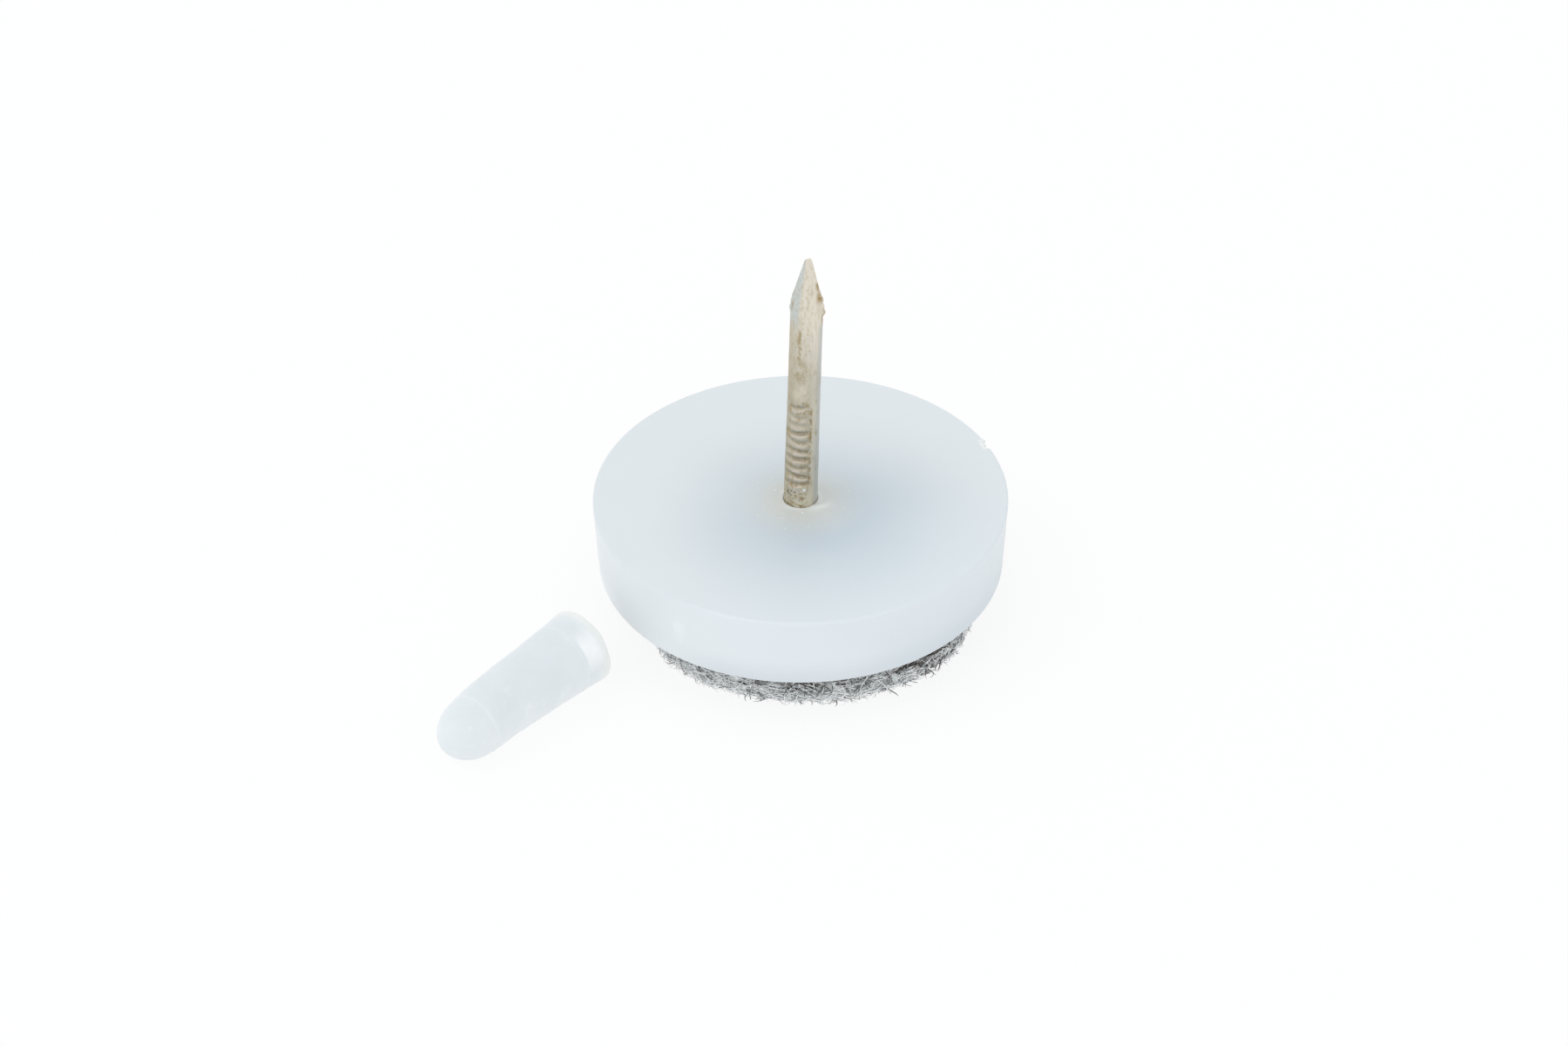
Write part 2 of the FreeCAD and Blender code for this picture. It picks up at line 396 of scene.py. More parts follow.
def swept(name, rows, closed=False, marks=None):
    """A closed mesh through rows of points that run round an axis. Open ends are covered by a fan."""
    count, around = rows.shape[:2]
    index = np.arange(count * around).reshape(count, around)
    lower = index if closed else index[:-1]
    upper = np.roll(index, -1, 0) if closed else index[1:]
    quads = np.stack([lower, np.roll(lower, -1, 1), np.roll(upper, -1, 1), upper], -1).reshape(-1, 4)
    points = rows.reshape(-1, 3)
    faces = quads.tolist()
    if not closed:
        points = np.vstack([points, rows[0].mean(0), rows[-1].mean(0)])
        for ring, middle in ((index[0], count * around), (index[-1], count * around + 1)):
            faces.extend([a, b, middle] for a, b in zip(ring.tolist(), np.roll(ring, -1).tolist()))
    return piece(name, points, faces, marks)


def piece(name, points, faces, marks=None):
    mesh = bpy.data.meshes.new(name)
    mesh.from_pydata(points.tolist(), [], faces)
    for mark, values in (marks or {}).items():
        padded = np.zeros(len(points), np.float32)
        padded[: values.size] = values.ravel()
        mesh.attributes.new(mark, "FLOAT", "POINT").data.foreach_set("value", padded)
    work = bmesh.new()
    work.from_mesh(mesh)
    bmesh.ops.recalc_face_normals(work, faces=work.faces)
    work.to_mesh(mesh)
    work.free()
    mesh.shade_smooth()
    made = bpy.data.objects.new(name, mesh)
    bpy.context.scene.collection.objects.link(made)
    return made


def dressed(made, material, slot, *nodes):
    """Give a piece its finish and its place on the one body, in place of the nodes it stands for."""
    made.data.materials.append(material)
    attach(made, "root")
    if nodes:
        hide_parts(*nodes)
    return made


# Moulded base
def base_bearings():
    """Bearings round the disc, close together at the gate scar and at the nick."""
    even = bearings(300)
    half = 0.09
    for centre, count in ((GATE_BEARING, 56), (NICK_BEARING, 64)):
        even = even[np.abs(wrapped(even - centre)) > half]
        even = np.concatenate([even, centre + np.linspace(-half, half, count)])
    return np.sort(even)


def gate_relief(bearing, height):
    """The scar of the moulding gate: a cut oval with a lip on one side, and a low smear down from it."""
    across = TOP_RADIUS * wrapped(bearing - GATE_BEARING) / (GATE_WIDTH / 2)
    relief = np.zeros_like(across)
    for centre, reach, fill, lip in GATE_MARKS:
        upright = ((height - RIM_MIDDLE) / GATE_HEIGHT - centre) / reach
        ring = np.hypot(across * 1.15, upright)
        side = 0.5 + 0.5 * np.sin(np.arctan2(upright, across) + 2.6)
        mark = fill * (1 - smooth(0.55, 1.1, ring)) + lip * side * bell(ring - 0.9, 0.13)
        relief = np.maximum(relief, mark)
    return relief


def moulded_base():
    """The turned disc with its felt recess and nail hole, its scar and nick, and the lip by the nail."""
    hole = NAIL_RADIUS + NAIL_SWELL
    fine, coarse = 0.14 * MM, 0.45 * MM
    section = rounded([
        (hole, TOP_Z, HOLE_ROUND, fine),
        (LIP_REACH, TOP_Z, 0, coarse),
        (TOP_RADIUS - 1.0 * MM, TOP_Z, 0, fine),
        (TOP_RADIUS, TOP_Z, TOP_ROUND, 0.12 * MM),
        (FOOT_RADIUS, FOOT_Z, FOOT_ROUND, fine),
        (RECESS_RADIUS, FOOT_Z, RECESS_EDGE_ROUND, fine),
        (RECESS_RADIUS, FELT_TOP, RECESS_ROUND, 4 * coarse),
        (POCKET_RADIUS, FELT_TOP, POCKET_ROUND, coarse),
        (POCKET_RADIUS, POCKET_TOP, POCKET_ROUND, coarse),
        (hole, POCKET_TOP, HOLE_POCKET_ROUND, coarse),
    ])
    bearing, out, height = lathe(section, base_bearings())
    wall = (out > RECESS_RADIUS + 0.3 * MM) * smooth(FOOT_Z, FOOT_Z + 0.6 * MM, height)
    scar = wall * gate_relief(bearing, height)
    out = out + GATE_PROUD * scar
    across = TOP_RADIUS * wrapped(bearing - NICK_BEARING)
    upper = smooth(TOP_Z - NICK_DROP, TOP_Z - 0.7 * NICK_DROP, height)
    ragged = 1 + 0.35 * lumps(np.stack([across, height, out], -1), 0.35 * MM)
    nick = wall * upper * band((-0.5, -0.4), (0.3, 0.42), across / NICK_WIDTH)
    tab = bell(across - 0.5 * NICK_WIDTH, 0.14 * MM) * smooth(TOP_Z - 0.5 * MM, TOP_Z - 0.1 * MM, height)
    limit = TOP_RADIUS - NICK_DEPTH * ragged * nick - 0.02 * MM
    out = np.where(nick > 0.02, np.minimum(out, limit), out) + wall * tab * NICK_TAB
    by_nail = 1 - smooth(POCKET_RADIUS, 1.5 * POCKET_RADIUS, out)
    rows = turned(out, bearing, height)
    rows[..., 0] += NAIL_AXIS.x / NAIL_AXIS.z * (height - TOP_Z) * by_nail
    lip = (height > TOP_Z - 0.03 * MM) * (out < LIP_REACH) * nail_lip(rows)
    rows[..., 2] += lip * LIP_HEIGHT
    torn = np.maximum(nick, wall * tab) * (out > TOP_RADIUS - 0.45 * MM)
    return swept("moulded_base", rows, closed=True, marks={"scar": scar, "nick": torn, "lip": lip})


def nail_lip(rows):
    """The smear of plastic that the nail pushed up beside its foot, towards the front right."""
    out = np.hypot(rows[..., 0], rows[..., 1])
    bearing = np.arctan2(rows[..., 1], rows[..., 0])
    middle = 1.5 * MM + 0.5 * MM * smooth(-0.9, -0.3, bearing)
    smear = bell(out - middle, 0.35 * MM) * bell(wrapped(bearing + 0.75), 0.45)
    collar = 0.5 * bell(out - 1.3 * MM, 0.15 * MM) * (1 + 0.6 * np.sin(3 * bearing + 1.0))
    return np.maximum(smear, collar)


# Tones of the base: the core, foot, right and rim tones are painted shade, the front tone a painted cool
# reflection, and the foot-left tone painted light
MILK = shade(223, 229, 232)
MILK_CORE_SHADE = shade(188, 201, 211)
MILK_FRONT_REFLECTION = shade(220, 229, 236)
MILK_FOOT_SHADE = shade(202, 210, 216)
MILK_FOOT_LEFT_LIGHT = shade(242, 246, 248)
MILK_RIGHT_SHADE = shade(200, 211, 219)
MILK_BY_NAIL = shade(214, 212, 202)
MILK_RIM_SHADE = shade(208, 216, 221)
MILK_CLOUD = shade(230, 235, 237)
MILK_RAISED = shade(238, 241, 240)
MILK_SPECK = shade(244, 245, 244)


def milky_plastic():
    """Painted shade greyer and bluer over the middle, low on the front, on the right wall and along the
    left rim, a painted cool reflection towards the front and painted light low on the left; warmer round
    the nail, and white where it is cut.
    """
    material, finish = new_finish("milky_plastic")
    height = finish.along((0, 0, 1))
    lower = 1 - height.ramp(FOOT_Z, FOOT_Z + 2.4 * MM)
    front = finish.along((0.5, -0.866, 0))
    left = finish.along((-1, 0, 0)).ramp(5 * MM, 9 * MM)
    # Painted shade over the middle and a little to the front, standing for the felt seen through the
    # plastic and a soft shadow of the nail
    core_shade = 1 - finish.away((1.5 * MM, -2.8 * MM, TOP_Z), (1, 1, 1.4)).ramp(0.5 * MM, 13.2 * MM)
    colour = finish.mix(core_shade, MILK, MILK_CORE_SHADE)
    # Painted cool reflection, bluer towards the front right
    colour = finish.mix(front.ramp(0, 13 * MM) * 0.42, colour, MILK_FRONT_REFLECTION)
    # Painted shade low on the wall, strongest at the front right
    colour = finish.mix(lower * (0.1 + 0.65 * front.ramp(-2 * MM, 9 * MM)), colour, MILK_FOOT_SHADE)
    # Painted shade on the right of the wall
    right = finish.along((0.82, -0.57, 0)).ramp(10 * MM, 14 * MM) * (1 - height.ramp(FOOT_Z, TOP_Z))
    colour = finish.mix(right * 0.55, colour, MILK_RIGHT_SHADE)
    out = finish.away((0, -0.4 * MM, TOP_Z), (1, 1, 0.6))
    haze = 1 - out.ramp(1.0 * MM, 5.0 * MM)
    colour = finish.mix(haze * 0.68, colour, MILK_BY_NAIL)
    # Painted shade along the rim on the left, dimming its bright edge
    edge = finish.away((0, 0, 0), (1, 1, 0)).ramp(TOP_RADIUS - 0.2 * MM, TOP_RADIUS - 0.1 * MM)
    edge = edge * height.ramp(TOP_Z - 0.22 * MM, TOP_Z - 0.12 * MM)
    colour = finish.mix(edge * left * 0.45, colour, MILK_RIM_SHADE)
    # Painted light low on the left of the wall
    colour = finish.mix(lower * left * 0.35, colour, MILK_FOOT_LEFT_LIGHT)
    cloud = finish.grain(5 * MM, 2.0)
    colour = finish.mix((cloud - 0.5) * 0.25 + 0.1, colour, MILK_CLOUD)
    raised = finish.mark("scar") * 0.5 + finish.mark("nick") * 0.9 + finish.mark("lip") * 0.6
    colour = finish.mix(raised, colour, MILK_RAISED)
    specks = finish.grain(0.2 * MM, 1.0).ramp(0.7, 0.73) * (1 - out.ramp(2 * MM, 6 * MM))
    colour = finish.mix(specks * 0.8, colour, MILK_SPECK)
    finish.surface(
        base_color=colour,
        roughness=0.36 + 0.1 * finish.grain(1.2 * MM, 3.0),
        ior=1.5,
        subsurface_weight=0.1,
        subsurface_radius=(1.0, 1.0, 1.0),
        subsurface_scale=0.3 * MM,
        normal=finish.bump(finish.grain(0.5 * MM, 4.0, 0.6), 0.012 * MM),
    )
    return material


# Nail
def nail_levels():
    """Levels along the nail, close together at the die marks and at the point."""
    spans = [
        (HEAD_BOTTOM, HEAD_SEAT, 3),
        (HEAD_SEAT + 0.01 * MM, GRIP_START, 24),
        (GRIP_START, GRIP_END, 160),
        (GRIP_END, NAIL_REACH - BROAD_FACET, 24),
        (NAIL_REACH - BROAD_FACET, NAIL_REACH - TIP_ROUND, 90),
    ]
    levels = [np.linspace(start, end, count, endpoint=False) for start, end, count in spans]
    tip = NAIL_REACH - TIP_ROUND * (1 - np.sin(np.linspace(0, 0.49 * math.pi, 10)))
    return np.concatenate([*levels, tip])


def die_marks(bearing, level):
    """From 0 to 1: the grooves of the heading dies, the worn crest under each, where a highlight is
    painted, and their row's brim.
    """
    depth, crest_highlight, brim = (np.zeros_like(level) for _ in range(3))
    within = band((GRIP_START, GRIP_START + GRIP_PITCH), (GRIP_END - GRIP_PITCH, GRIP_END), level)
    for side in GRIP_BEARINGS:
        round_way = np.abs(wrapped(bearing - side))
        for step in range(GRIP_COUNT):
            worn = step > GRIP_COUNT - 4
            shift, tilt, ragged = rng.normal(0, (0.04 * MM, 0.05 * MM, 0.07))
            end = GRIP_ARC / 2 - 0.2 * worn + ragged
            reach = 1 - smooth(end - 0.25, end + 0.04, round_way)
            centre = GRIP_START + (step + 0.5) * GRIP_PITCH + shift
            centre = centre + tilt * wrapped(bearing - side) + 0.05 * MM * np.sin(3 * bearing + 2 * step)
            rise = (level - centre) / GRIP_PITCH
            groove = 1 - smooth(0, 0.5 * GRIP_WIDTH / GRIP_PITCH, np.abs(rise))
            depth = np.maximum(depth, reach * groove * (0.8 + 0.2 * math.sin(2.3 * step) - 0.35 * worn))
            crest_highlight = np.maximum(crest_highlight, reach * bell(rise + 0.4, 0.2) * bell(round_way, 0.6))
        brim = np.maximum(brim, within * bell(wrapped(bearing - side) - GRIP_ARC / 2, 0.11))
    return depth, crest_highlight, brim


def steel_nail():
    """The wire with its head, swollen foot, die marks and diamond point, and the burr ridges beside the
    point.
    """
    bearing, level = np.meshgrid(bearings(144), nail_levels())
    swell = NAIL_SWELL * (1 - smooth(GRIP_START, GRIP_END, level))
    wire = np.where(level <= HEAD_SEAT, HEAD_RADIUS, NAIL_RADIUS + swell)
    below = NAIL_REACH - level
    narrow = TIP_WIDTH / 2 + (NAIL_RADIUS - TIP_WIDTH / 2) * below / NARROW_FACET
    broad = TIP_THICKNESS / 2 + (NAIL_RADIUS - TIP_THICKNESS / 2) * below / BROAD_FACET
    facing = bearing - POINT_TURN
    pointed = level > NAIL_REACH - BROAD_FACET
    crisp = 18
    tight = (1 / wire) ** crisp
    tight += pointed * (np.abs(np.cos(facing)) / narrow) ** crisp
    tight += pointed * (np.abs(np.sin(facing)) / broad) ** crisp
    out = tight ** (-1 / crisp)
    grooves, crest_highlight, brim = die_marks(bearing, level)
    out = out - GRIP_DEPTH * grooves
    burr = np.zeros_like(out)
    span = band((BURR_START, BURR_START + 0.5 * MM), (BURR_END - 1.6 * MM, BURR_END), level)
    jagged = 1 + 0.55 * np.sin(level / (0.12 * MM)) * np.sin(level / (0.29 * MM) + 1)
    for side, height in zip(BURR_BEARINGS, BURR_HEIGHTS):
        ridge = bell(wrapped(bearing - side), 0.2) * span
        out = out + height * ridge * jagged
        burr = np.maximum(burr, ridge)
    wear = lumps(turned(out, bearing, level) * [1, 1, 0.4], 0.5 * MM)
    out = out + 0.012 * MM * wear * (1 + 2.5 * burr) * (level > HEAD_SEAT)
    out = out * np.sqrt(1 - np.clip((TIP_ROUND - below) / TIP_ROUND, 0, 1) ** 2)
    rows = np.array(NAIL_FOOT) + level[..., None] * np.array(NAIL_AXIS)
    rows = rows + (out * np.cos(bearing))[..., None] * np.array(NAIL_RIGHT)
    rows = rows + (out * np.sin(bearing))[..., None] * np.array(NAIL_BACK)
    return swept("steel_nail", rows, marks={"groove": grooves, "crest_highlight": crest_highlight, "brim": brim})


def on_nail(below_tip, bearing):
    """A place on the wire's surface, or on the ridges of the point."""
    side = NAIL_RIGHT * math.cos(bearing) + NAIL_BACK * math.sin(bearing)
    out = min(NAIL_RADIUS, TIP_WIDTH / 2 + NAIL_RADIUS * below_tip / NARROW_FACET)
    return tuple(NAIL_FOOT + NAIL_AXIS * (NAIL_REACH - below_tip) + side * out)


# Tones of the nail: the low, high, foot, left and edge tones are painted shade and light, the facet tone a
# painted reflection, the crest tone a painted highlight, and the groove tone dirt with painted shade
STEEL_SHADED_LOW = shade(198, 192, 176)
STEEL_LIT_HIGH = shade(226, 220, 207)
STEEL_FOOT_LIGHT = shade(224, 217, 200)
STEEL_LEFT_SHADE = shade(168, 161, 136)
STEEL_DRAWN = shade(190, 178, 150)
STEEL_SMOOTH = shade(217, 209, 192)
STEEL_EDGE_SHADE = shade(186, 190, 188)
STEEL_FACET_REFLECTION = shade(201, 207, 205)
STEEL_CREST_HIGHLIGHT = shade(222, 210, 200)
STEEL_CLEAN = shade(230, 218, 196)
STEEL_GLINT = shade(255, 255, 255)
STEEL_PIT = shade(84, 76, 68)
TARNISH = shade(164, 146, 106)
TARNISH_GOLD = shade(168, 146, 102)
TARNISH_SMEAR = shade(166, 148, 108)
DIRT_AND_SHADE_GROOVE = shade(138, 126, 102)
DIRT_BRIM = shade(150, 127, 82)
DIRT_STAIN = shade(162, 140, 98)
DIRT_FOOT = shade(150, 133, 86)


def plated_steel():
    """Dull plating, with painted light towards the point, painted shade and painted reflections on its
    sides, a painted highlight on each die mark's crest, drawing lines, tarnish, and dirt with painted shade
    in the die marks.
    """
    material, finish = new_finish("plated_steel")
    level = finish.along(tuple(NAIL_AXIS), tuple(NAIL_FOOT))
    across = finish.along(tuple(NAIL_RIGHT), tuple(NAIL_FOOT))
    above_grip = level.ramp(7 * MM, 11 * MM)
    drawn = finish.grain(0.2 * MM, 5.0, 0.65, (1, 1, 0.12))
    patches = finish.grain(1.1 * MM, 4.0, 0.6, (1, 1, 0.35))
    fine = finish.grain(0.3 * MM, 5.0, 0.65)

    # The plating, with painted shade and light along it and painted reflections at its edge and facet
    colour = finish.mix(level.ramp(7 * MM, 16 * MM), STEEL_SHADED_LOW, STEEL_LIT_HIGH)
    # Painted light at the foot of the nail
    colour = finish.mix((1 - level.ramp(0.6 * MM, 2.2 * MM)) * 0.8, colour, STEEL_FOOT_LIGHT)
    # Painted shade down the left side
    left = 1 - across.ramp(-1.1 * MM, -0.2 * MM)
    colour = finish.mix(left * (0.25 + 0.25 * above_grip), colour, STEEL_LEFT_SHADE)
    colour = finish.mix(drawn.ramp(0.45, 0.7) * 0.45, colour, STEEL_DRAWN)
    smooth_side = across.ramp(0.35 * MM, 0.6 * MM) * (1 - level.ramp(8 * MM, 10 * MM))
    colour = finish.mix(smooth_side * 0.75, colour, STEEL_SMOOTH)
    # Painted shade, cool and grey, along the right edge of the shank
    shank = 1 - level.ramp(NAIL_REACH - 5.4 * MM, NAIL_REACH - 4.7 * MM)
    cool_edge_shade = across.ramp(0.72 * MM, 0.95 * MM) * shank
    colour = finish.mix(cool_edge_shade * (0.6 + 0.1 * above_grip), colour, STEEL_EDGE_SHADE)
    # Painted reflection, bluish grey, on the left facet of the point
    ridge = (0.15 * MM + (NAIL_REACH - level) * 0.11).least(0.57 * MM)
    left_facet_reflection = 1 - (across + ridge).ramp(-0.05 * MM, 0.05 * MM)
    left_facet_reflection = left_facet_reflection * level.ramp(NAIL_REACH - 5.6 * MM, NAIL_REACH - 4.2 * MM)
    colour = finish.mix(left_facet_reflection * 0.9, colour, STEEL_FACET_REFLECTION)

    # The die marks and their dirt, with painted shade in the grooves and a painted highlight on each crest
    low = 1 - level.ramp(8 * MM, 13 * MM)
    tarnish = finish.grain(0.55 * MM, 5.0, 0.65, (1, 1, 0.45)).ramp(0.53, 0.68)
    colour = finish.mix(tarnish * (0.12 + 0.45 * low), colour, TARNISH)
    # Painted highlight on the worn crest under each groove
    colour = finish.mix(finish.mark("crest_highlight") * fine.ramp(0.3, 0.55) * 0.7, colour, STEEL_CREST_HIGHLIGHT)
    # Dirt with painted shade in the grooves
    groove_dirt_and_shade = finish.mark("groove").ramp(0.1, 0.8) * (0.4 + 0.6 * across.ramp(-1.0 * MM, -0.3 * MM))
    colour = finish.mix(groove_dirt_and_shade * fine.ramp(0.25, 0.65) * 0.75, colour, DIRT_AND_SHADE_GROOVE)
    colour = finish.mix(finish.mark("brim") * fine.ramp(0.4, 0.58) * 0.9, colour, DIRT_BRIM)
    ends = level.band((6.2 * MM, 8.2 * MM), (8.4 * MM, 9 * MM)) + (1 - level.ramp(1.8 * MM, 3.6 * MM))
    gold = finish.grain(0.24 * MM, 4.0, 0.7, (1, 1, 0.8)).ramp(0.5, 0.62)
    gold = gold * (1 - across.ramp(0.2 * MM, 0.6 * MM))
    colour = finish.mix(gold * (0.3 + 0.55 * ends), colour, TARNISH_GOLD)

    # The marks on the shank and the point
    smear = finish.grain(0.4 * MM, 5.0, 0.7, (1, 1, 0.6)).ramp(0.4, 0.56)
    wander = across + (finish.grain(1.4 * MM, 2.0, 0.5, (0, 0, 1)) - 0.5) * 0.9 * MM
    trail = wander.near(-0.42 * MM, 0.16 * MM) * level.band((11.8 * MM, 12.4 * MM), (14.3 * MM, 14.9 * MM))
    colour = finish.mix(trail * smear * 0.75, colour, TARNISH_SMEAR)
    mottle = across.near(-0.3 * MM, 0.6 * MM) * level.band((10.2 * MM, 10.8 * MM), (11.6 * MM, 12.6 * MM))
    colour = finish.mix(mottle * smear * 0.55, colour, TARNISH_SMEAR)
    clean = 1 - finish.away(on_nail(CLEAN_BELOW, CLEAN_BEARING), (1, 1, 0.8)).ramp(0.2 * MM, 0.95 * MM)
    colour = finish.mix(clean * (1 - smear * 0.7) * 0.6, colour, STEEL_CLEAN)
    for below, bearing, size in STAINS:
        blot = 1 - finish.away(on_nail(below, bearing), (1, 1, 0.4)).ramp(0.1 * size, size)
        colour = finish.mix(blot * (0.25 + fine).ramp(0.4, 0.8), colour, DIRT_STAIN)
    foot = (1 - level.ramp(0.05 * MM, 0.4 * MM)) * (1 - across.ramp(0.2 * MM, 0.8 * MM) * 0.7)
    colour = finish.mix(foot * fine.ramp(0.46, 0.6) * 0.8, colour, DIRT_FOOT)
    pits = 1 - finish.away(on_nail(PITS_BELOW, PITS_BEARING)).ramp(0.3 * MM, 0.8 * MM)
    colour = finish.mix(pits * fine.ramp(0.54, 0.62) * 0.9, colour, STEEL_PIT)
    glint = 1 - finish.away(on_nail(GLINT_BELOW, GLINT_BEARING)).ramp(0.07 * MM, 0.14 * MM)
    colour = finish.mix(glint, colour, STEEL_GLINT)
    finish.surface(
        base_color=colour,
        metallic=0.88,
        roughness=0.38 + 0.2 * patches + 0.1 * groove_dirt_and_shade,
        normal=finish.bump(drawn * 0.5 + fine * 0.5, 0.03 * MM, 0.8),
    )
    return material


# Cap
def cap_section():
    """(out, along) from the tip of the dome over the outside to the mouth, then down the bore."""
    angle = np.linspace(0.02, math.pi / 2, 30)
    dome = np.stack([CAP_STEP_AT + CAP_DOME_LENGTH * np.cos(angle), CAP_DOME_RADIUS * np.sin(angle)], -1)
    step = np.array([[CAP_STEP_AT - 0.02 * MM, CAP_END_RADIUS - 0.01 * MM]])
    taper = run((CAP_STEP_AT - 0.06 * MM, CAP_END_RADIUS), (CAP_COLLAR, CAP_NECK_RADIUS), 0.12 * MM)
    along = np.linspace(CAP_COLLAR, CAP_RIM_ROUND, 20)
    flare = (1 - along / CAP_COLLAR) ** 1.6
    collar = np.stack([along, CAP_NECK_RADIUS + (CAP_MOUTH_RADIUS - CAP_NECK_RADIUS) * flare], -1)
    outside = np.vstack([dome, step, taper, collar])
    outside[:, 1] += CAP_BEAD * bell(outside[:, 0] - CAP_COLLAR, 0.09 * MM)
    inner = CAP_MOUTH_RADIUS - CAP_WALL
    rim = np.vstack([
        curve(outside[-1], (0, CAP_MOUTH_RADIUS), (0, CAP_MOUTH_RADIUS - CAP_RIM_ROUND), 6)[1:],
        curve((0, inner + CAP_RIM_ROUND), (0, inner), (CAP_RIM_ROUND, inner), 6),
    ])
    bore = run((2 * CAP_RIM_ROUND, inner), (CAP_BORE_DEPTH, CAP_BORE_END), 0.3 * MM)
    end = run((CAP_BORE_DEPTH, CAP_BORE_END), (CAP_BORE_DEPTH + CAP_BORE_END, 0.02 * MM), 0.2 * MM)
    return np.vstack([outside, rim, bore, end])[:, ::-1]


def point_cap():
    """The blind cap, turned about its axis, laid down on its side and moved to where the solid lies."""
    bearing, out, along = lathe(cap_section(), bearings(128))
    mouth = 1 - smooth(0, 1.2 * MM, along)
    along = along + mouth * 0.05 * MM * np.sin(2 * bearing + 0.6) * np.sin(5 * bearing)
    rows = np.stack([along, out * np.cos(bearing), out * np.sin(bearing)], -1)
    rows[..., 1:] *= (1 + 0.012 * lumps(rows, 3 * MM, 2))[..., None]
    laid = np.array(Matrix.Rotation(CAP_HEADING, 3, "Z") @ Matrix.Rotation(CAP_DROOP, 3, "Y"))
    rows = rows @ laid.T
    low, high = rows.reshape(-1, 3).min(0), rows.reshape(-1, 3).max(0)
    shift = (np.array(CAP_LOW) + np.array(CAP_HIGH) - low - high) / 2
    shift[2] = -low[2]
    nose = CAP_NOSE_SHIFT * smooth(CAP_STEP_AT - 2.5 * MM, CAP_STEP_AT + 0.6 * MM, along)
    rows = rows + shift + nose[..., None] * laid[:, 1]
    ring = bell(along - CAP_COLLAR, 0.12 * MM) + bell(along - CAP_STEP_AT, 0.12 * MM)
    # The painted highlight on the collar, carried as a mark
    outer = out > CAP_MOUTH_RADIUS - 0.5 * CAP_WALL
    collar_highlight = outer * band((0.15, 0.4), (0.85, 0.98), along / CAP_COLLAR)
    collar_highlight = collar_highlight * (1 - smooth(0.1, 0.75, np.abs(wrapped(bearing - COLLAR_HIGHLIGHT_BEARING))))
    return swept("point_cap", rows, marks={"ring": ring, "mouth": mouth, "collar_highlight": collar_highlight})


CAP_DULL_TONE = shade(224, 230, 233)
CAP_PALE_TONE = shade(228, 233, 236)
CAP_UPPER_SHADE = shade(213, 220, 226)
CAP_STREAK_TONE = shade(238, 242, 246)
CAP_RING_TONE = shade(238, 241, 241)
CAP_MOUTH_TONE = shade(242, 242, 237)
CAP_HIGHLIGHT_TONE = shade(251, 252, 253)


def cap_plastic():
    """Cloudy plastic with pale streaks, a pale ring at each step, painted shade on its upper side and a
    painted highlight patch on the collar.
    """
    material, finish = new_finish("cap_plastic")
    colour = finish.mix(finish.grain(2.2 * MM, 3.0).ramp(0.35, 0.65), CAP_DULL_TONE, CAP_PALE_TONE)
    # Painted shade on the upper side
    upper = finish.along((0, 0, 1)).ramp(2.4 * MM, 5 * MM)
    colour = finish.mix(upper * 0.2, colour, CAP_UPPER_SHADE)
    streak = finish.grain(0.9 * MM, 4.0, 0.6).ramp(0.58, 0.72)
    colour = finish.mix(streak * 0.35, colour, CAP_STREAK_TONE)
    colour = finish.mix(finish.mark("ring") * 0.32, colour, CAP_RING_TONE)
    colour = finish.mix(finish.mark("mouth") * 0.65, colour, CAP_MOUTH_TONE)
    # Painted highlight on the collar
    highlight_patch = finish.mark("collar_highlight") * (0.5 + 0.5 * finish.grain(0.6 * MM, 3.0))
    colour = finish.mix(highlight_patch, colour, CAP_HIGHLIGHT_TONE)
    finish.surface(
        base_color=colour,
        roughness=0.3 + 0.1 * finish.grain(0.8 * MM),
        ior=1.5,
        subsurface_weight=0.2,
        subsurface_radius=(1.0, 1.0, 1.0),
        subsurface_scale=0.3 * MM,
        normal=finish.bump(finish.grain(0.7 * MM, 4.0), 0.02 * MM),
    )
    return material


# Felt
def free(bearing):
    """1 at the front and back of the pad, and 0 at its left and right, where its edge is pressed in."""
    return smooth(0.2, 0.7, np.abs(np.sin(bearing)))


def felt_body():
    """The matted pad under the fibres: a disc with a soft, lumpy edge."""
    edge, low, high = FELT_EDGE, FELT_UNDERSIDE, FELT_TOP
    middle = 0.05 * MM
    section = np.vstack([
        run((middle, low), (edge - FELT_ROUND, low), 0.45 * MM),
        curve((edge - FELT_ROUND, low), (edge, low), (edge, low + FELT_ROUND), 8),
        run((edge, low + FELT_ROUND), (edge, high - FELT_TOP_ROUND), 0.18 * MM)[1:],
        curve((edge, high - FELT_TOP_ROUND), (edge, high), (edge - FELT_TOP_ROUND, high), 4),
        run((edge - FELT_TOP_ROUND, high), (middle, high), 1.2 * MM)[1:],
    ])
    bearing, out, height = lathe(section, bearings(300))
    rows = turned(out, bearing, height)
    rough = lumps(rows, 0.9 * MM, 4) * FELT_LUMP
    side = smooth(0.5 * edge, edge, out) * (1 - smooth(FOOT_Z - 0.3 * MM, FOOT_Z, height))
    pressed = FELT_PRESS * (1 - free(bearing))
    rows[..., :2] *= ((1 + side * rough / edge) * (1 - pressed / edge))[..., None]
    rows[..., 2] += np.clip(rough, -0.04 * MM, 0.1 * MM) * (height < 0.5 * FELT_TOP)
    rows[..., 0] += FELT_CENTRE_X
    return swept("felt_body", rows)


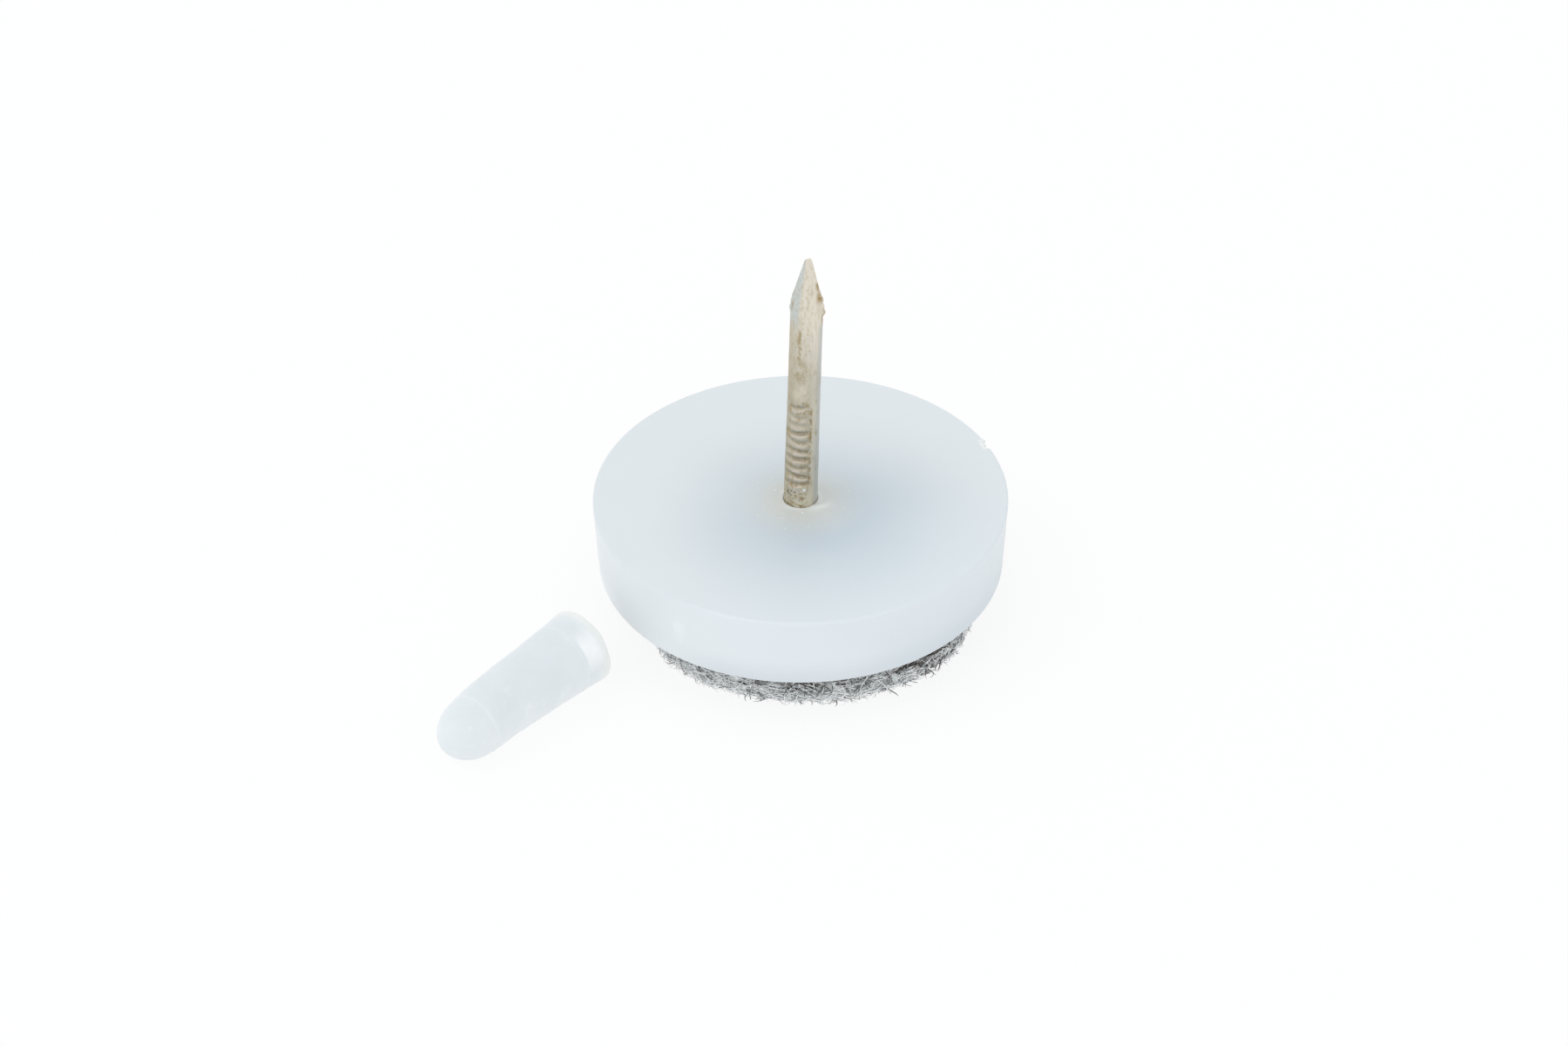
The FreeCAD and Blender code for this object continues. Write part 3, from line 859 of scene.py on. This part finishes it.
def fibre_roots(count, under):
    """Places on the pad's side, or on its underside, with the way out of the felt there."""
    bearing = rng.uniform(-math.pi, math.pi, count)
    way = np.stack([np.cos(bearing), np.sin(bearing), np.zeros(count)], -1)
    if under:
        out = FELT_RADIUS * np.sqrt(rng.uniform(0, 0.93, count))
        place = way * out[:, None] + [0, 0, 0.07 * MM]
        way = np.tile([0.0, 0.0, -1.0], (count, 1))
    else:
        level = rng.uniform(0.02, 0.99, count) * FOOT_Z
        inset = FELT_ROUND * (1 - np.sqrt(1 - np.clip(1 - level / FELT_ROUND, 0, 1) ** 2))
        place = way * (FELT_EDGE - 0.05 * MM - inset)[:, None]
        place[:, 2] = level
        way[:, 2] = -0.8 * np.clip(1 - level / FELT_ROUND, 0, 1)
        way = unit(way)
    return place + [FELT_CENTRE_X, 0, 0], way


def combed(points):
    """The points with what leaves the felt's edge laid flatter, and the left and right pressed in."""
    bearing = np.arctan2(points[..., 1], points[..., 0] - FELT_CENTRE_X)
    out = np.hypot(points[..., 0] - FELT_CENTRE_X, points[..., 1])
    flatter = FELT_EDGE + (out - FELT_EDGE) * (0.1 + 0.5 * free(bearing))
    out = np.where(out > FELT_EDGE, flatter, out) * (1 - FELT_PRESS / FELT_EDGE * (1 - free(bearing)))
    return turned(out, bearing, points[..., 2]) + [FELT_CENTRE_X, 0, 0]


def fibre_lines(place, way, lift, stray):
    """Curling lines that start at places on the felt and lie along it, and the axis of each one's curl."""
    count = len(place)
    flat = unit(np.cross(way, rng.normal(size=(count, 3)) * [0.3, 0.3, 1.0]))
    start = unit(flat + way * rng.normal(lift, stray, count)[:, None])
    axis = way + rng.normal(0, 0.5, (count, 3))
    axis = unit(axis - start * (axis * start).sum(1)[:, None])
    bend = rng.normal(0, 1.0, count)[:, None, None]
    bend = np.where(np.abs(bend) < 0.05, 0.05, bend)
    share = np.linspace(0, 1, FIBRE_STEPS)[None, :, None]
    reach = (FIBRE_LENGTH * rng.uniform(0.45, 1.0, count))[:, None, None]
    side = np.cross(axis, start)
    line = start[:, None] * np.sin(bend * share) / bend + side[:, None] * (1 - np.cos(bend * share)) / bend
    crimp = FIBRE_CRIMP * np.sin(share * 9 + rng.uniform(0, TURN, count)[:, None, None]) * share
    points = place[:, None] + reach * line + axis[:, None] * crimp
    points[..., 2] = np.clip(points[..., 2], FIBRE_LOWEST, FOOT_Z - FIBRE_HEADROOM)
    return combed(points), axis[:, None]


def fibres(name, place, way, radius, lift, stray):
    """Closed, three-sided fibres that grow thinner towards their ends."""
    points, axis = fibre_lines(place, way, lift, stray)
    count = len(points)
    ahead = unit(np.gradient(points, axis=1))
    across = unit(np.cross(ahead, axis))
    third = np.cross(ahead, across)
    share = np.linspace(0, 1, FIBRE_STEPS)[None, :, None]
    thick = (radius * rng.uniform(0.7, 1.2, count))[:, None, None] * (1 - 0.8 * share**2)
    angles = np.arange(3) * TURN / 3
    corners = [points + thick * (across * math.cos(angle) + third * math.sin(angle)) for angle in angles]
    index = np.arange(count * FIBRE_STEPS * 3).reshape(count, FIBRE_STEPS, 3)
    lower, upper = index[:, :-1], index[:, 1:]
    quads = np.stack([lower, np.roll(lower, -1, 2), np.roll(upper, -1, 2), upper], -1).reshape(-1, 4)
    ends = np.vstack([index[:, 0, ::-1], index[:, -1]])
    return piece(name, np.stack(corners, 2).reshape(-1, 3), quads.tolist() + ends.tolist())


# Painted shade under the base's edge: dark tufts with painted shadow between them, and a painted shade line
TUFTS_AND_SHADE = shade(56, 49, 44)
UNDER_BASE_SHADE_TONE = shade(74, 68, 62)
FELT_GROUND = (shade(216, 221, 222), shade(112, 113, 112), 0.4)
# Kinds of wool: the light tone, the dark tone and the painted shade under the base of each, how dark it
# counts, and the strands
WOOLS = {
    "pale_wool": (shade(255, 255, 255), shade(241, 246, 248), 0.15, 0.0, 3100),
    "grey_wool": (shade(168, 173, 174), shade(118, 119, 118), 0.5, 0.5, 750),
    "dark_wool": (shade(76, 60, 48), shade(34, 26, 20), 0.3, 1.0, 1000),
}


def felt_finish(name, light, dark, under_base_shade):
    """Wool from dark to light in tufts, with a given share of it darkened right under the base by dark
    tufts and painted shade.
    """
    material, finish = new_finish(name)
    tuft = finish.grain(0.8 * MM, 4.0, 0.6)
    strand = finish.grain(0.12 * MM, 3.0, 0.6)
    colour = finish.mix((tuft * 0.65 + strand * 0.35).ramp(0.38, 0.62), dark, light)
    height = finish.along((0, 0, 1))
    # Dark tufts with painted shadow in the gaps, just under the base
    tufts_and_shade = height.ramp(0.38 * FOOT_Z, 0.68 * FOOT_Z) * finish.grain(0.7 * MM, 3.0).ramp(0.42, 0.56)
    colour = finish.mix(tufts_and_shade * under_base_shade, colour, TUFTS_AND_SHADE)
    # Painted shade line right under the base's edge
    colour = finish.mix(height.ramp(0.5 * FOOT_Z, 0.72 * FOOT_Z) * 0.5 * under_base_shade, colour, UNDER_BASE_SHADE_TONE)
    finish.surface(
        base_color=colour,
        roughness=0.9,
        sheen_weight=0.4,
        normal=finish.bump(strand, 0.05 * MM),
    )
    return material


def wool_felt():
    """The pad and its fibres: pale wool with grey and dark wool carded in, the dark strands in tufts."""
    body = felt_body()
    dressed(body, felt_finish("felt_ground", *FELT_GROUND), "wool_felt", "felt_pad")
    for wool, (light, dark, under_base_shade, darkness, count) in WOOLS.items():
        material = felt_finish(wool, light, dark, under_base_shade)
        radius = FIBRE_RADIUS * (1 - 0.08 * darkness)
        lift, stray = 0.1 - 0.02 * darkness, 0.2 - 0.1 * darkness
        for where in ("side", "under"):
            place, way = fibre_roots(4 * count, where == "under")
            tuft = lumps(place * [1, 1, 1.6], 0.75 * MM, 3)
            tuft += 0.75 * smooth(0.15 * FOOT_Z, 0.6 * FOOT_Z, place[:, 2])
            around = np.arctan2(place[:, 1], place[:, 0])
            for bearing, width, darker in DARK_SIDES:
                tuft += darker * bell(wrapped(around - bearing), width)
            order = np.argsort(rng.normal(0, 0.2, len(place)) - (darkness - 0.15) * tuft)[:count]
            made = fibres(f"{wool}_{where}", place[order], way[order], radius, lift, stray)
            dressed(made, material, "wool_felt")


# Stage
def set_stage():
    scene = bpy.context.scene
    scene.view_settings.view_transform = "Standard"
    world = bpy.data.worlds.new("studio")
    scene.world = world
    light_world(Finish(world))
    mesh = bpy.data.meshes.new("floor")
    corners = [(x * FLOOR_HALF, y * FLOOR_HALF, 0) for x, y in ((-1, -1), (1, -1), (1, 1), (-1, 1))]
    mesh.from_pydata(corners, [], [(0, 1, 2, 3)])
    floor = bpy.data.objects.new("floor", mesh)
    scene.collection.objects.link(floor)
    mesh.materials.append(pale_floor())
    softbox("left_softbox", (-0.55, -0.1, 0.6), 0.5, 0.55).visible_glossy = False
    softbox("right_softbox", (0.5, -0.35, 0.5), 0.3, 0.55)


def seen(finish):
    """1 for rays that show a surface to the camera, straight, mirrored or through clear plastic."""
    camera, glossy, through = (
        finish.node("ShaderNodeLightPath", None, None, f"Is {kind} Ray")
        for kind in ("Camera", "Glossy", "Transmission")
    )
    return camera.most(glossy.most(through))


def light_world(finish):
    """White where it is seen, and a soft dome that is a little stronger from the left and the front."""
    way = finish.node("ShaderNodeTexCoord", output="Generated")
    left = finish.vector("DOT_PRODUCT", way, (-0.39, -0.31, -0.06), output="Value")
    tint = (0.97, 0.99, 1.0, 1)
    dim = finish.node("ShaderNodeBackground", None, {"Color": tint, "Strength": 0.8})
    bright = finish.node("ShaderNodeBackground", None, {"Color": tint, "Strength": 1.16})
    dome = finish.node("ShaderNodeMixShader", None, {0: 0.5 + left, 1: dim, 2: bright})
    white = finish.node("ShaderNodeBackground", None, {"Color": (1, 1, 1, 1), "Strength": 1.0})
    shown = finish.node("ShaderNodeMixShader", None, {0: seen(finish), 1: dome, 2: white})
    finish.node("ShaderNodeOutputWorld", None, {"Surface": shown})


def pale_floor():
    """A lit white table that keeps a faint shadow, and is clear from below."""
    material, finish = new_finish("pale_floor")
    paper = finish.node("ShaderNodeBsdfDiffuse", None, {"Color": (0.97, 0.97, 0.97, 1)})
    glow = finish.node("ShaderNodeEmission", None, {"Color": (1, 1, 1, 1), "Strength": 1.0})
    shown = finish.node("ShaderNodeMixShader", None, {0: 0.84, 1: paper, 2: glow})
    behind = finish.node("ShaderNodeNewGeometry", output="Backfacing")
    clear = finish.node("ShaderNodeBsdfTransparent")
    sided = finish.node("ShaderNodeMixShader", None, {0: behind, 1: shown, 2: clear})
    finish.node("ShaderNodeOutputMaterial", None, {"Surface": sided})
    return material


def softbox(name, place, size, brightness):
    """A square lamp of an even brightness, turned to the glide."""
    lamp = bpy.data.lights.new(name, "AREA")
    lamp.shape = "SQUARE"
    lamp.size = size
    lamp.energy = brightness * math.pi * size**2
    made = bpy.data.objects.new(name, lamp)
    made.location = place
    made.rotation_euler = (Vector((0, 0, TOP_Z)) - Vector(place)).to_track_quat("-Z", "Y").to_euler()
    bpy.context.scene.collection.objects.link(made)
    return made


def look_at_glide():
    right = Vector((1, 0, 0))
    up = Vector((0, math.sin(VIEW_ELEVATION), math.cos(VIEW_ELEVATION)))
    ahead = up.cross(right)
    aim = Vector((0, 0, TOP_Z)) + right * VIEW_RIGHT + up * VIEW_UP
    lens = bpy.data.cameras.new("view_camera")
    lens.lens = VIEW_LENS
    lens.sensor_width = 36.0
    camera = bpy.data.objects.new("view_camera", lens)
    turn = Matrix((right, up, -ahead)).transposed() @ Matrix.Rotation(VIEW_ROLL, 3, "Z")
    camera.matrix_world = Matrix.Translation(aim - ahead * VIEW_DISTANCE) @ turn.to_4x4()
    bpy.context.scene.collection.objects.link(camera)
    bpy.context.scene.camera = camera


dressed(moulded_base(), milky_plastic(), "milky_plastic", "glide_base")
dressed(steel_nail(), plated_steel(), "plated_steel", "nail")
dressed(point_cap(), cap_plastic(), "cap_plastic", "nail_cap")
wool_felt()
set_stage()
look_at_glide()
